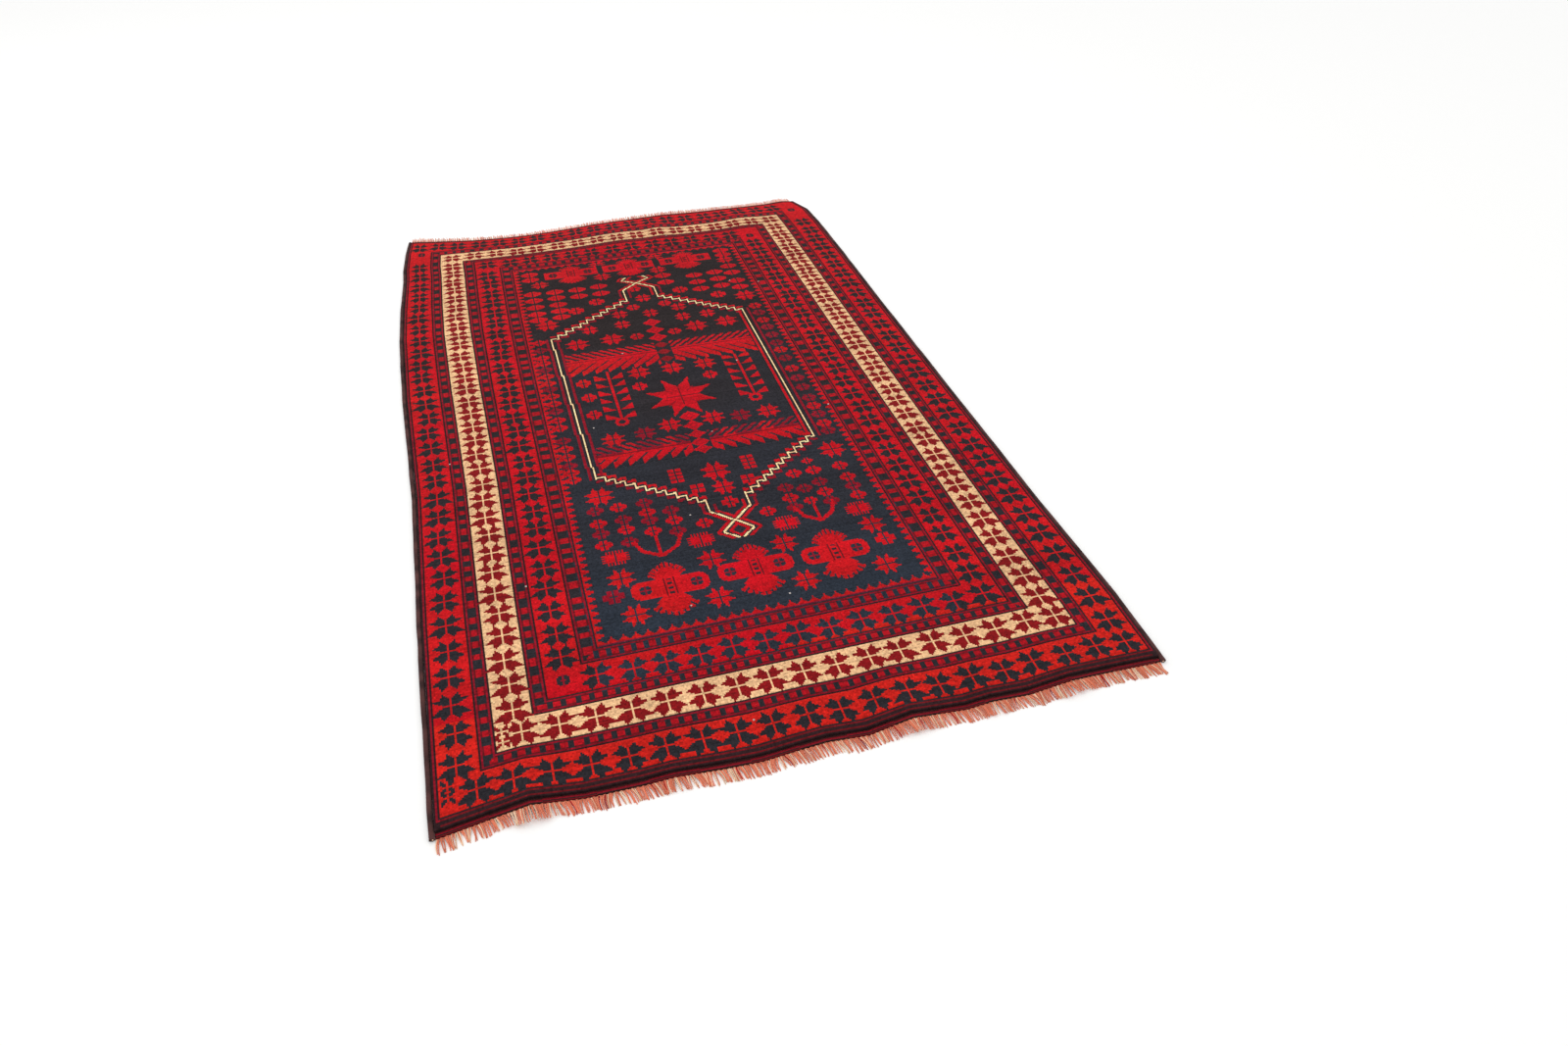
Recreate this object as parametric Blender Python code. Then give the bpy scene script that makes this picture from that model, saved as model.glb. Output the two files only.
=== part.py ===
"""A hand-knotted wool rug with a hexagon medallion, lying flat with its pile up.

Units are metres, +Z is up and +Y points to the end with the short fringe. The origin is the middle of
the underside, fringes included. The ground weave carries the pile, whose knots are grouped into the bands
of the design. Two overcast selvedges bind the sides, and each end has a flat-woven kilim band, a row of
twining and the free ends of the warps as a fringe.
"""

import math

import bpy

# Overall sizes.
WIDTH = 1.250  # over both selvedges
LENGTH = 2.130  # of the woven part, without the fringes
CLEARANCE = 0.0003  # between pieces that touch

# Thicknesses.
WEAVE_THICKNESS = 0.0028
PILE_HEIGHT = 0.0055
KILIM_THICKNESS = 0.0032
FRINGE_THICKNESS = 0.0022

# Selvedges: two warp cords side by side, overcast with wool.
SELVEDGE_WIDTH = 0.010
SELVEDGE_HEIGHT = 0.0072
SELVEDGE_WRAP = 0.0014  # thickness of the overcasting
SELVEDGE_STEPS = 16  # straight steps round the oval

# Ends.
TWINING_DIAMETER = 0.0026
NEAR_KILIM = 0.009
FAR_KILIM = 0.005
NEAR_FRINGE = 0.045
FAR_FRINGE = 0.012
FRINGE_ROOT = 0.003  # the row of knots that every tassel hangs from
TASSEL_PITCH = 0.016
TASSEL_WIDTH = 0.012
TASSEL_TIP = 0.008

# Bands of the pile, from the edge inwards. The weaver ran short at the far end, where the inner ones are
# narrower than at the sides and the near end.
SIDE_STRIPES = 0.0105
NEAR_STRIPES = 0.018
FAR_STRIPES = 0.008
OUTER_BORDER = 0.063
OUTER_GUARD = 0.030
MAIN_BORDER = 0.0635
FAR_MAIN_BORDER = 0.0535
MIDDLE_GUARD = 0.0275
FAR_MIDDLE_GUARD = 0.0175
INNER_BORDER = 0.063
FAR_INNER_BORDER = 0.055
INNER_GUARD = 0.0335
FAR_INNER_GUARD = 0.031
SAWTOOTH = 0.015
FAR_SAWTOOTH = 0.0135

# Medallion, on the line down the middle of its outline. Along the rug it is as long as what it holds: the
# near feather bar, the star and the far feather bar, between the gables and their necks.
OUTLINE_WIDTH = 0.030
MEDALLION_MARGIN = 0.0598  # from the field's sides
MEDALLION_NEAR_SHARE = 0.611  # of the field's free length, what lies on the near side
GABLE_RISE = 0.160
NECK_HEIGHT = 0.072
NECK_HALF_WIDTH = 0.041
BAR_MARGIN = 0.0345  # from the medallion's sides to the ends of the bars
NEAR_BAR_RISE = 0.0145  # from the near gable to the near bar
NEAR_BAR_HEIGHT = 0.084
STAR_GAP = 0.071  # from the star to each bar
STAR_RADIUS = 0.085
STAR_NOTCH = 0.042
STAR_POINTS = 8
FAR_BAR_HEIGHT = 0.1095
FAR_BAR_DROP = 0.1055  # from the far bar to the far gable

WEAVE_MID_Y = (NEAR_FRINGE - FAR_FRINGE) / 2
NEAR_Y = WEAVE_MID_Y - LENGTH / 2
FAR_Y = WEAVE_MID_Y + LENGTH / 2
PILE_BOTTOM = WEAVE_THICKNESS + CLEARANCE
PILE_TOP = PILE_BOTTOM + PILE_HEIGHT


def clear_scene():
    for item in list(bpy.data.objects):
        bpy.data.objects.remove(item, do_unlink=True)


def make_collection(name):
    collection = bpy.data.collections.new(name)
    bpy.context.scene.collection.children.link(collection)
    return collection


def wool(name, colour, roughness=0.95):
    """A matt wool finish of one colour."""
    material = bpy.data.materials.new(name)
    material.use_nodes = True
    shader = material.node_tree.nodes["Principled BSDF"]
    shader.inputs["Base Color"].default_value = (*colour, 1.0)
    shader.inputs["Roughness"].default_value = roughness
    shader.inputs["Metallic"].default_value = 0.0
    return material


def rectangle(left, near, right, far):
    return [(left, near), (right, near), (right, far), (left, far)]


def oval(width, height, steps):
    """Points round an upright oval."""
    turns = [2 * math.pi * i / steps for i in range(steps)]
    return [(width / 2 * math.cos(t), height / 2 * math.sin(t)) for t in turns]


def offset(points, distance):
    """A closed anticlockwise outline moved outwards by distance, with its corners kept sharp."""
    moved = []
    for i, (x, y) in enumerate(points):
        before, after = points[i - 1], points[(i + 1) % len(points)]
        normals = []
        for (ax, ay), (bx, by) in ((before, (x, y)), ((x, y), after)):
            length = math.hypot(bx - ax, by - ay)
            normals.append(((by - ay) / length, (ax - bx) / length))
        (nx, ny), (mx, my) = normals
        reach = distance / (1 + nx * mx + ny * my)
        moved.append((x + (nx + mx) * reach, y + (ny + my) * reach))
    return moved


def plate(name, outlines, bottom, top, material, collection):
    """A flat piece between two heights. The first outline is its edge and the others are its holes."""
    curve = bpy.data.curves.new(name, "CURVE")
    curve.dimensions = "2D"
    curve.fill_mode = "BOTH"
    curve.extrude = (top - bottom) / 2
    for outline in outlines:
        spline = curve.splines.new("POLY")
        spline.points.add(len(outline) - 1)
        for point, (x, y) in zip(spline.points, outline):
            point.co = (x, y, 0, 1)
        spline.use_cyclic_u = True
    curve.materials.append(material)
    piece = bpy.data.objects.new(name, curve)
    piece.location.z = (bottom + top) / 2
    collection.objects.link(piece)
    return piece


def rod(name, outlines, x, z, near, far, material, collection):
    """A straight piece along Y whose section is the outlines, in X and Z."""
    piece = plate(name, outlines, near, far, material, collection)
    piece.location = (x, (near + far) / 2, z)
    piece.rotation_euler.x = math.pi / 2
    return piece


class Band:
    """The pile's rectangle that is left after the bands outside it."""

    def __init__(self, left, near, right, far):
        self.sides = (left, near, right, far)

    def inside(self, side, near, far):
        left, low, right, high = self.sides
        return Band(left + side, low + near, right - side, high - far)

    def outline(self):
        return rectangle(*self.sides)


def make_pile_rings(pile, materials, collection):
    """Every ring of the design, edge stripes to sawtooth edging. Returns the field's rectangle."""
    rings = [
        ("edge_stripe_pile", "maroon", (SIDE_STRIPES, NEAR_STRIPES, FAR_STRIPES)),
        ("outer_border_pile", "red", (OUTER_BORDER, OUTER_BORDER, OUTER_BORDER)),
        ("outer_guard_pile", "maroon", (OUTER_GUARD, OUTER_GUARD, OUTER_GUARD)),
        ("main_border_pile", "cream", (MAIN_BORDER, MAIN_BORDER, FAR_MAIN_BORDER)),
        ("middle_guard_pile", "maroon", (MIDDLE_GUARD, MIDDLE_GUARD, FAR_MIDDLE_GUARD)),
        ("inner_border_pile", "red", (INNER_BORDER, INNER_BORDER, FAR_INNER_BORDER)),
        ("inner_guard_pile", "maroon", (INNER_GUARD, INNER_GUARD, FAR_INNER_GUARD)),
        ("sawtooth_edging_pile", "red", (SAWTOOTH, SAWTOOTH, FAR_SAWTOOTH)),
    ]
    for name, colour, widths in rings:
        within = pile.inside(*widths)
        outlines = [pile.outline(), within.outline()]
        plate(name, outlines, PILE_BOTTOM, PILE_TOP, materials[colour], collection)
        pile = within.inside(CLEARANCE, CLEARANCE, CLEARANCE)
    return pile


def medallion_outline(half_width, near_tip, far_tip):
    """The hexagon with a square neck at each end, anticlockwise, on the middle of its outline."""
    shoulder = (NECK_HALF_WIDTH, NECK_HEIGHT)
    corners = [(half_width, GABLE_RISE + NECK_HEIGHT), shoulder, (NECK_HALF_WIDTH, 0.0)]
    near_right = [(x, near_tip + depth) for x, depth in reversed(corners)]
    far_right = [(x, far_tip - depth) for x, depth in corners]
    right = near_right + far_right
    return right + [(-x, y) for x, y in reversed(right)]


def star(centre_y, outer, inner):
    """The eight-pointed star of the medallion, with its points off the axes."""
    corners = []
    for i in range(2 * STAR_POINTS):
        radius = outer if i % 2 else inner
        turn = math.pi * i / STAR_POINTS
        corners.append((radius * math.cos(turn), centre_y + radius * math.sin(turn)))
    return corners


def make_field(field, materials, collection):
    """The field with the medallion in it, and the star and the two feather bars in the medallion."""
    left, near, right, far = field.sides
    half = OUTLINE_WIDTH / 2
    gable = GABLE_RISE + NECK_HEIGHT
    bars = NEAR_BAR_RISE + NEAR_BAR_HEIGHT + FAR_BAR_HEIGHT + FAR_BAR_DROP
    tip_to_tip = bars + 2 * (STAR_GAP + STAR_RADIUS + gable)
    free = far - near - tip_to_tip - OUTLINE_WIDTH
    near_tip = near + MEDALLION_NEAR_SHARE * free + half
    half_width = (right - left) / 2 - MEDALLION_MARGIN
    middle = medallion_outline(half_width, near_tip, near_tip + tip_to_tip)

    bar = half_width - BAR_MARGIN
    near_bar = near_tip + gable + NEAR_BAR_RISE
    star_y = near_bar + NEAR_BAR_HEIGHT + STAR_GAP + STAR_RADIUS
    far_bar = star_y + STAR_RADIUS + STAR_GAP
    figures = [
        ("central_star_pile", star(star_y, STAR_RADIUS, STAR_NOTCH)),
        ("far_feather_bar_pile", rectangle(-bar, far_bar, bar, far_bar + FAR_BAR_HEIGHT)),
        ("near_feather_bar_pile", rectangle(-bar, near_bar, bar, near_bar + NEAR_BAR_HEIGHT)),
    ]
    plates = [
        ("field_pile", "navy", [field.outline(), offset(middle, half + CLEARANCE)]),
        ("medallion_outline_pile", "cream", [offset(middle, half), offset(middle, -half)]),
    ]
    holes = [offset(shape, CLEARANCE) for _, shape in figures]
    ground = [offset(middle, -half - CLEARANCE), *holes]
    plates.append(("medallion_ground_pile", "navy", ground))
    plates += [(name, "red", [shape]) for name, shape in figures]
    for name, colour, outlines in plates:
        plate(name, outlines, PILE_BOTTOM, PILE_TOP, materials[colour], collection)


def make_selvedges(materials, collection):
    """On each side a warp core inside its overcasting, which is open at both ends."""
    wrap = oval(SELVEDGE_WIDTH, SELVEDGE_HEIGHT, SELVEDGE_STEPS)
    bore_width = SELVEDGE_WIDTH - 2 * SELVEDGE_WRAP
    bore_height = SELVEDGE_HEIGHT - 2 * SELVEDGE_WRAP
    bore = oval(bore_width, bore_height, SELVEDGE_STEPS)
    core = oval(bore_width - 2 * CLEARANCE, bore_height - 2 * CLEARANCE, SELVEDGE_STEPS)
    height = SELVEDGE_HEIGHT / 2
    for side, sign in (("left", -1), ("right", 1)):
        x = sign * (WIDTH - SELVEDGE_WIDTH) / 2
        pieces = (("overcast", "brown", [wrap, bore]), ("core", "warp", [core]))
        for part, colour, outlines in pieces:
            name = f"{side}_selvedge_{part}"
            rod(name, outlines, x, height, NEAR_Y, FAR_Y, materials[colour], collection)


def comb(root_y, length, outward):
    """A fringe seen from above: one root strip along X with a tapering tassel at every pitch."""
    half = WIDTH / 2 - SELVEDGE_WIDTH
    count = int((2 * half - TASSEL_WIDTH) / TASSEL_PITCH) + 1
    first = -(count - 1) * TASSEL_PITCH / 2
    strip_y = root_y + outward * FRINGE_ROOT
    tip_y = root_y + outward * length
    points = [(half, root_y), (-half, root_y), (-half, strip_y)]
    for i in range(count):
        x = first + i * TASSEL_PITCH
        points += [(x - TASSEL_WIDTH / 2, strip_y), (x - TASSEL_TIP / 2, tip_y)]
        points += [(x + TASSEL_TIP / 2, tip_y), (x + TASSEL_WIDTH / 2, strip_y)]
    points.append((half, strip_y))
    return points


def make_end(end, edge_y, outward, kilim, fringe, materials, collection):
    """One end's kilim band, twining and fringe. Returns where the pile may start. Outward is -1 or 1 along Y."""
    half = WIDTH / 2 - SELVEDGE_WIDTH - CLEARANCE
    twining_y = edge_y - outward * TWINING_DIAMETER / 2
    kilim_outer = edge_y - outward * (TWINING_DIAMETER + CLEARANCE)
    kilim_inner = kilim_outer - outward * kilim
    low, high = sorted((kilim_outer, kilim_inner))
    band = rectangle(-half, low, half, high)
    plate(f"{end}_end_kilim", [band], 0, KILIM_THICKNESS, materials["maroon"], collection)

    cord = oval(TWINING_DIAMETER, TWINING_DIAMETER, SELVEDGE_STEPS)
    twining = plate(f"{end}_end_twining", [cord], -half, half, materials["brown"], collection)
    twining.location = (0, twining_y, TWINING_DIAMETER / 2)
    twining.rotation_euler.y = math.pi / 2

    tassels = comb(edge_y + outward * CLEARANCE, fringe - CLEARANCE, outward)
    plate(f"{end}_fringe", [tassels], 0, FRINGE_THICKNESS, materials["warp"], collection)
    return kilim_inner - outward * CLEARANCE


def main():
    clear_scene()
    rug = make_collection("medallion_rug")
    materials = {
        "red": wool("red_wool", (0.50, 0.012, 0.017)),
        "maroon": wool("maroon_wool", (0.10, 0.010, 0.014)),
        "cream": wool("cream_wool", (0.76, 0.53, 0.29)),
        "navy": wool("navy_wool", (0.022, 0.034, 0.048)),
        "brown": wool("dark_brown_wool", (0.040, 0.024, 0.026)),
        "warp": wool("salmon_warp", (0.72, 0.27, 0.19)),
    }
    near = make_end("near", NEAR_Y, -1, NEAR_KILIM, NEAR_FRINGE, materials, rug)
    far = make_end("far", FAR_Y, 1, FAR_KILIM, FAR_FRINGE, materials, rug)
    make_selvedges(materials, rug)
    half = WIDTH / 2 - SELVEDGE_WIDTH - CLEARANCE
    weave = Band(-half, near, half, far)
    plate("foundation_weave", [weave.outline()], 0, WEAVE_THICKNESS, materials["warp"], rug)
    field = make_pile_rings(weave, materials, rug)
    make_field(field, materials, rug)


main()
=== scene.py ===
"""Looks of the hand-knotted area rug: its pile knot by knot, its woven ends, overcast sides and fringes.

The drawing is a knotter's chart: one colour code for each knot. Every band of the chart becomes one closed
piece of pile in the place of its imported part, and the whole rug then lies on the floor with gentle ripples.
"""

import math

import bpy
import numpy as np
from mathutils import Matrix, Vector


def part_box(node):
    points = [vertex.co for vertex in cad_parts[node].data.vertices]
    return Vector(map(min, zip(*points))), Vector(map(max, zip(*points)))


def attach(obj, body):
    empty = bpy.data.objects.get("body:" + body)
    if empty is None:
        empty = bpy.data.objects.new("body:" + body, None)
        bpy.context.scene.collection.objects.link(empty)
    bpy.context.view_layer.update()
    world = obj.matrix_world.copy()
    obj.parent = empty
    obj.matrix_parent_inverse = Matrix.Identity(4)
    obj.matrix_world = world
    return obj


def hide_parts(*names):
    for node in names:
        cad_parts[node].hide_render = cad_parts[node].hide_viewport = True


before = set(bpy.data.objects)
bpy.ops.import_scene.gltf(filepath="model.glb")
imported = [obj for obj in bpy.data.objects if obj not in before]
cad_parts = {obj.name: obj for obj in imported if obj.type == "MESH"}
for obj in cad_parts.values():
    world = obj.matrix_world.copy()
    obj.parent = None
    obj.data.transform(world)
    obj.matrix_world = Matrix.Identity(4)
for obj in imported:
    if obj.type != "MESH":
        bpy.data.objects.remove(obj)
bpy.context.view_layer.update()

# Yarn colours: the code that the chart holds for each knot, with its dyed colour in sRGB.
RED, NAVY, CREAM, DARK_RED, MAROON, BROWN, WINE, PURPLE, WHITE = range(9)
DYES = {
    RED: (186, 6, 24),
    NAVY: (47, 39, 40),
    CREAM: (226, 180, 134),
    DARK_RED: (128, 16, 20),
    MAROON: (104, 16, 24),
    BROWN: (54, 28, 28),
    WINE: (136, 12, 32),
    PURPLE: (112, 30, 50),
    WHITE: (196, 186, 180),
}
# Colours of single lots and of the yarns that aren't knotted.
ORANGE_DYE = (208, 42, 18)
THREAD_CREAM = (255, 214, 160)
BEAD_RED = (168, 12, 26)
SALMON = (226, 128, 98)
PALE_WARP = (240, 200, 168)
RED_STRAND = (176, 30, 34)
OVERCAST = (52, 34, 34)
OVERCAST_LIGHT = (92, 58, 56)
FLOOR = (252, 252, 251)

# The knots, in metres.
KNOT_WIDTH = 0.00315
KNOT_LENGTH = 0.0033
KNOT_UNEVENNESS = 0.00016
DARK_WEAR = 0.00035  # how much lower the dark knots are worn
DEEPEST_WEAR = 0.0016
HAIRLINE = 0.00005  # the gap between two pieces of pile
PALE_TUFTS = 16  # worn down to the warps
PILE = [
    "edge_stripe_pile", "outer_border_pile", "outer_guard_pile", "main_border_pile", "middle_guard_pile",
    "inner_border_pile", "inner_guard_pile", "sawtooth_edging_pile", "field_pile",
]

# A quarter of a border star, in knots from its centre: the two far leaves are slimmer than the near ones.
FAR_LEAF = [(0.4, 0.4), (4.2, 0.7), (9.8, 3.8), (5.6, 4.8), (4.0, 8.8), (1.6, 6.2), (0.4, 4.4)]
NEAR_LEAF = [(0.4, 0.4), (4.4, 0.8), (7.0, 2.8), (10.0, 6.2), (6.0, 6.2), (4.4, 10.0), (1.8, 7.8), (0.4, 6.0)]
FULL_STAR = [(0.0, 0.0), (4.4, 0.0), (9.6, 3.2), (4.8, 4.8), (3.2, 9.6), (0.0, 4.4)]
STAR_REACH = 9.4
CENTRAL_STAR = -0.005, 0.030
LONG_RAY, SHORT_RAY = 27.0, 13.0


def in_polygon(u, v, corners):
    """Which of the points (u, v) lie inside the outline."""
    inside = np.zeros(u.shape, bool)
    for (ax, ay), (bx, by) in zip(corners, corners[1:] + corners[:1]):
        if ay != by:
            crosses = (ay > v) != (by > v)
            inside ^= crosses & (u < (bx - ax) * (v - ay) / (by - ay) + ax)
    return inside


class Chart:
    """The rug's drawing, one colour code for each knot. Places are in metres and reaches in knots."""

    def __init__(self, low, high):
        self.left, self.near = low[0], low[1]
        self.columns = round((high[0] - low[0]) / KNOT_WIDTH)
        self.rows = round((high[1] - low[1]) / KNOT_LENGTH)
        self.step = (high[0] - low[0]) / self.columns, (high[1] - low[1]) / self.rows
        self.codes = np.full((self.rows, self.columns), NAVY, np.uint8)
        self.thread = np.zeros(self.codes.shape, bool)
        self.guard = np.zeros(self.codes.shape, bool)

    def knot(self, x, y):
        return int((x - self.left) / self.step[0]), int((y - self.near) / self.step[1])

    def edges(self, low, high):
        """A rectangle in metres as first and last-plus-one column and row."""
        lines = [(low[0] - self.left) / self.step[0], (low[1] - self.near) / self.step[1]]
        lines += [(high[0] - self.left) / self.step[0], (high[1] - self.near) / self.step[1]]
        return [round(line) for line in lines]

    def window(self, x, y, reach):
        """The knots round a place, with how far each is from it, in knots."""
        column, row = self.knot(x, y)
        first = max(row - reach, 0), max(column - reach, 0)
        last = min(row + reach + 1, self.rows), min(column + reach + 1, self.columns)
        v, u = np.mgrid[first[0] : last[0], first[1] : last[1]]
        return self.codes[first[0] : last[0], first[1] : last[1]], u - column, v - row

    def paint(self, shape, x, y, reach, colour):
        codes, u, v = self.window(x, y, reach)
        codes[shape(u, v)] = colour

    def line(self, points, colour, wide=1, tall=1, thread=False):
        """A knotted line through the places, so many knots wide and tall."""
        for (ax, ay), (bx, by) in zip(points, points[1:]):
            count = int(math.hypot(bx - ax, by - ay) / KNOT_WIDTH * 4) + 2
            for t in np.linspace(0, 1, count):
                column, row = self.knot(ax + (bx - ax) * t, ay + (by - ay) * t)
                self.codes[row : row + tall, column : column + wide] = colour
                if thread:
                    self.thread[row : row + tall, column : column + wide] = True


def mm(*places):
    """Places given in millimetres, as metres."""
    return [tuple(value * 0.001 for value in place) for place in places]


def spread(first, last, count):
    return [first + (last - first) * i / (count - 1) for i in range(count)]


def paint_star(chart, x, y, colour=RED, cross=NAVY, wide=1.0, tall=1.0, leaved=False):
    """A star of eight points: either full, or as four leaves with two points each."""

    def leaves(u, v):
        across, along = np.abs(u) / wide, np.abs(v) / tall
        if not leaved:
            return in_polygon(across, along, FULL_STAR)
        return np.where(v > 0, in_polygon(across, along, FAR_LEAF), in_polygon(across, along, NEAR_LEAF))

    def arms(u, v):
        upright = (u == 0) & (np.abs(v) <= 6.5 * tall)
        level = (v == 0) & (np.abs(u) <= 4.0 * wide)
        return upright | level

    reach = int(STAR_REACH * max(wide, tall)) + 2
    chart.paint(leaves, x, y, reach, colour)
    chart.paint(arms, x, y, reach, cross)


def paint_flower(chart, x, y, colour=RED, wide=5.0, tall=4.5, cross=NAVY):
    """A round flower of four petals."""

    def petals(u, v):
        across, along = np.abs(u) / wide, np.abs(v) / tall
        notch = np.abs(np.abs(u) * tall - np.abs(v) * wide) < 0.25 * wide * tall * (across + along > 1.15)
        return (across**2.2 + along**2.2 < 1.05) & ~notch

    reach = int(max(wide, tall)) + 2
    chart.paint(petals, x, y, reach, colour)
    chart.paint(lambda u, v: (u == 0) & (np.abs(v) <= tall + 1), x, y, reach, cross)
    chart.paint(lambda u, v: (v == 0) & (np.abs(u) <= wide * 0.4), x, y, reach, cross)


def paint_pod(chart, x, y, colour=RED, wide=7.4, tall=4.7):
    """A pointed oval split down its middle, as in the flower columns of the far end."""

    def halves(u, v):
        across, along = np.abs(u) / wide, np.abs(v) / tall
        return (across**1.3 + along**1.9 < 1.02) & (u != 0)

    chart.paint(halves, x, y, int(wide) + 2, colour)
    chart.paint(lambda u, v: (v == 0) & (np.abs(u) > 1) & (np.abs(u) < 4), x, y, int(wide) + 2, WINE)
    chart.paint(lambda u, v: (u == 0) & (np.abs(v) <= tall + 2), x, y, int(tall) + 3, NAVY)


def paint_burr(chart, x, y, wide=8, tall=6):
    """An oval with a fringe of single knots all round."""

    def burr(u, v):
        across, along = np.abs(u), np.abs(v)
        body = (across < wide - 1.5) & (along < tall - 2)
        upright = (across < wide - 1) & (along <= tall) & (u % 2 == 1)
        level = (along < tall - 2) & (across <= wide) & (v % 2 == 1)
        return (body | upright | level) & (u != 0)

    chart.paint(burr, x, y, wide + 2, RED)


def paint_diamond(chart, x, y, wide=6.5, tall=6.0, colour=RED):
    reach = int(max(wide, tall)) + 1
    chart.paint(lambda u, v: np.abs(u) / wide + np.abs(v) / tall <= 1.0, x, y, reach, colour)
    chart.paint(lambda u, v: np.abs(np.abs(u) + np.abs(v) - 3) < 0.5, x, y, reach, WINE)


def paint_crown(chart, x, y, direction, width, height, neck, peak):
    """A palmette's crown: it opens from its neck like a flame, with slits between its tongues."""

    def crown(u, v):
        along = v * direction / height
        swell = neck + (width - neck) * np.clip(along / peak, 0, 1) ** 0.8
        taper = width * np.clip(1 - np.clip((along - peak) / (1 - peak), 0, 1) ** 1.6, 0, 1)
        half = np.where(along < peak, swell, taper)
        turn = np.arctan2(np.abs(u) + 0.01, np.abs(v) + 1.5)
        out = np.hypot(u / width, (v + 1.5) / height)
        slit = ((turn * 4.2 + 0.25) % 1 < 0.34) & (out > 0.74)
        return (along >= 0) & (along <= 1) & (np.abs(u) <= half) & ~slit

    chart.paint(crown, x, y, int(max(width, height)) + 2, RED)


def paint_ring_cross(chart, x, y, radius=4.6):
    """A dark round with a cross in it."""
    reach = int(radius) + 2
    chart.paint(lambda u, v: u**2 + v**2 <= radius**2, x, y, reach, NAVY)
    chart.paint(lambda u, v: ((u == 0) | (v == 0)) & (u**2 + v**2 <= radius**2), x, y, reach, WINE)


def paint_palmette(chart, x, y, half_width, half_height, rounded, crown, above, below):
    """Two lobes side by side with a box of small squares between them, and a crown above and below."""

    def lobes(u, v):
        across, along = np.abs(u), np.abs(v)
        past = np.clip(across - half_width + 5, 0, None), np.clip(along - half_height + 5, 0, None)
        corner = past[0] ** 2 + past[1] ** 2
        body = (across > 3) & (across <= half_width) & (along <= half_height)
        return body & (corner < 28) if rounded else body

    paint_crown(chart, x, y + half_height * KNOT_LENGTH, 1, crown, above, 6.0, 0.3)
    paint_crown(chart, x, y - half_height * KNOT_LENGTH, -1, crown + 2.5, below, 5.0, 0.5)
    chart.paint(lobes, x, y, half_width + 2, RED)
    chart.paint(lambda u, v: (np.abs(u) <= 3) & (np.abs(v) <= half_height), x, y, half_width, RED)
    chart.paint(lambda u, v: (np.abs(u) == 3) & (np.abs(v) <= half_height), x, y, half_width, MAROON)
    chart.paint(lambda u, v: (np.abs(u) <= 1) & (np.abs(v) < half_height) & (v % 4 > 1), x, y, 12, BROWN)
    for side in (-1, 1):
        paint_ring_cross(chart, x + side * 0.66 * half_width * KNOT_WIDTH, y, 3.9)


def paint_plant(chart, x, near, far, half_width=10, leaf_pitch=10.6):
    """An upright stem with pairs of leaf triangles, and a ring at its foot."""
    column, first = chart.knot(x, near)
    last = chart.knot(x, far)[1]
    for row in range(first, last):
        part = ((row - first) % leaf_pitch) / leaf_pitch
        for offset in range(1, half_width + 1):
            if part < 0.66 and offset / half_width > 0.1 + part / 0.66 * 0.9:
                chart.codes[row, column - offset] = RED
                chart.codes[row, column + offset + 1] = RED
        chart.codes[row, column : column + 2] = RED
    chart.paint(lambda u, v: (u**2 + v**2 <= 25) & (u**2 + v**2 > 5), x, near - 0.016, 7, RED)


def paint_feather_bar(chart, near, far, spine, left, gap, right, depth, upper):
    """Two rows of feathers that point away from the middle, above and below a spine."""
    middle = (gap[0] + gap[1]) / 2
    first, low = chart.knot(left, near)
    last, high = chart.knot(right, far)
    spine_row = chart.knot(middle, spine)[1]
    inner = chart.knot(gap[0], near)[0], chart.knot(gap[1], near)[0]
    pitch_below, pitch_above = 9.8, 7.0
    for column in range(first, last + 1):
        if inner[0] < column < inner[1]:
            continue
        outwards = column - first if column <= inner[0] else last - column
        below = spine_row - low
        tooth = 1 - (outwards % pitch_below) / pitch_below
        bottom = spine_row - round(below - depth * (1 - tooth))
        chart.codes[bottom:spine_row, column] = RED
        notch = round(below - depth)
        for down in range(3, notch + 2):
            lean = (outwards + (down - notch) * 1.15) % pitch_below
            if lean < 0.9 + 1.3 * down / notch:
                chart.codes[spine_row - down, column] = NAVY
        for row in range(spine_row, high + 1):
            lean = (outwards + (row - spine_row) * 1.2) % pitch_above
            if row < spine_row + 3 or lean < 3.3:
                chart.codes[row, column] = upper if outwards % 28 < 19 else RED
        chart.codes[spine_row, column] = MAROON


def between(outer, inner, chart):
    """Each knot's depth from the outer edges and from the inner ones, over the whole chart."""
    rows, columns = np.mgrid[0 : chart.rows, 0 : chart.columns]
    depths = []
    for left, near, right, far in (outer, inner):
        level = np.minimum(columns - left, right - 1 - columns)
        depths.append(np.minimum(level, np.minimum(rows - near, far - 1 - rows)))
    return rows, columns, depths[0], -1 - depths[1]


def paint_guard(chart, outer, inner):
    """A guard stripe: a row of beads between dark and red lines."""
    rows, columns, depth, rest = between(outer, inner, chart)
    ring = (depth >= 0) & (rest >= 0)
    left, _, right, far = outer
    side = (columns - left == depth) | (right - 1 - columns == depth)
    far_side = far - 1 - rows == depth
    along = np.where(side, rows + 2.0 * np.sin(rows / 9.0), columns * 1.0)
    red_bead = np.where(side, along % 10.8 < 5.0, np.where(far_side, along % 7.8 < 4.1, along % 7.1 < 4.1))
    colour = np.where(red_bead, DARK_RED, NAVY)
    colour = np.where(red_bead & ((depth == 2) | (rest == 2)), MAROON, colour)
    colour = np.where((depth == 0) | (rest == 0), BROWN, colour)
    colour = np.where((depth == 1) | (rest == 1), WINE, colour)
    chart.codes[ring] = colour[ring]
    chart.guard |= ring


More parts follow.
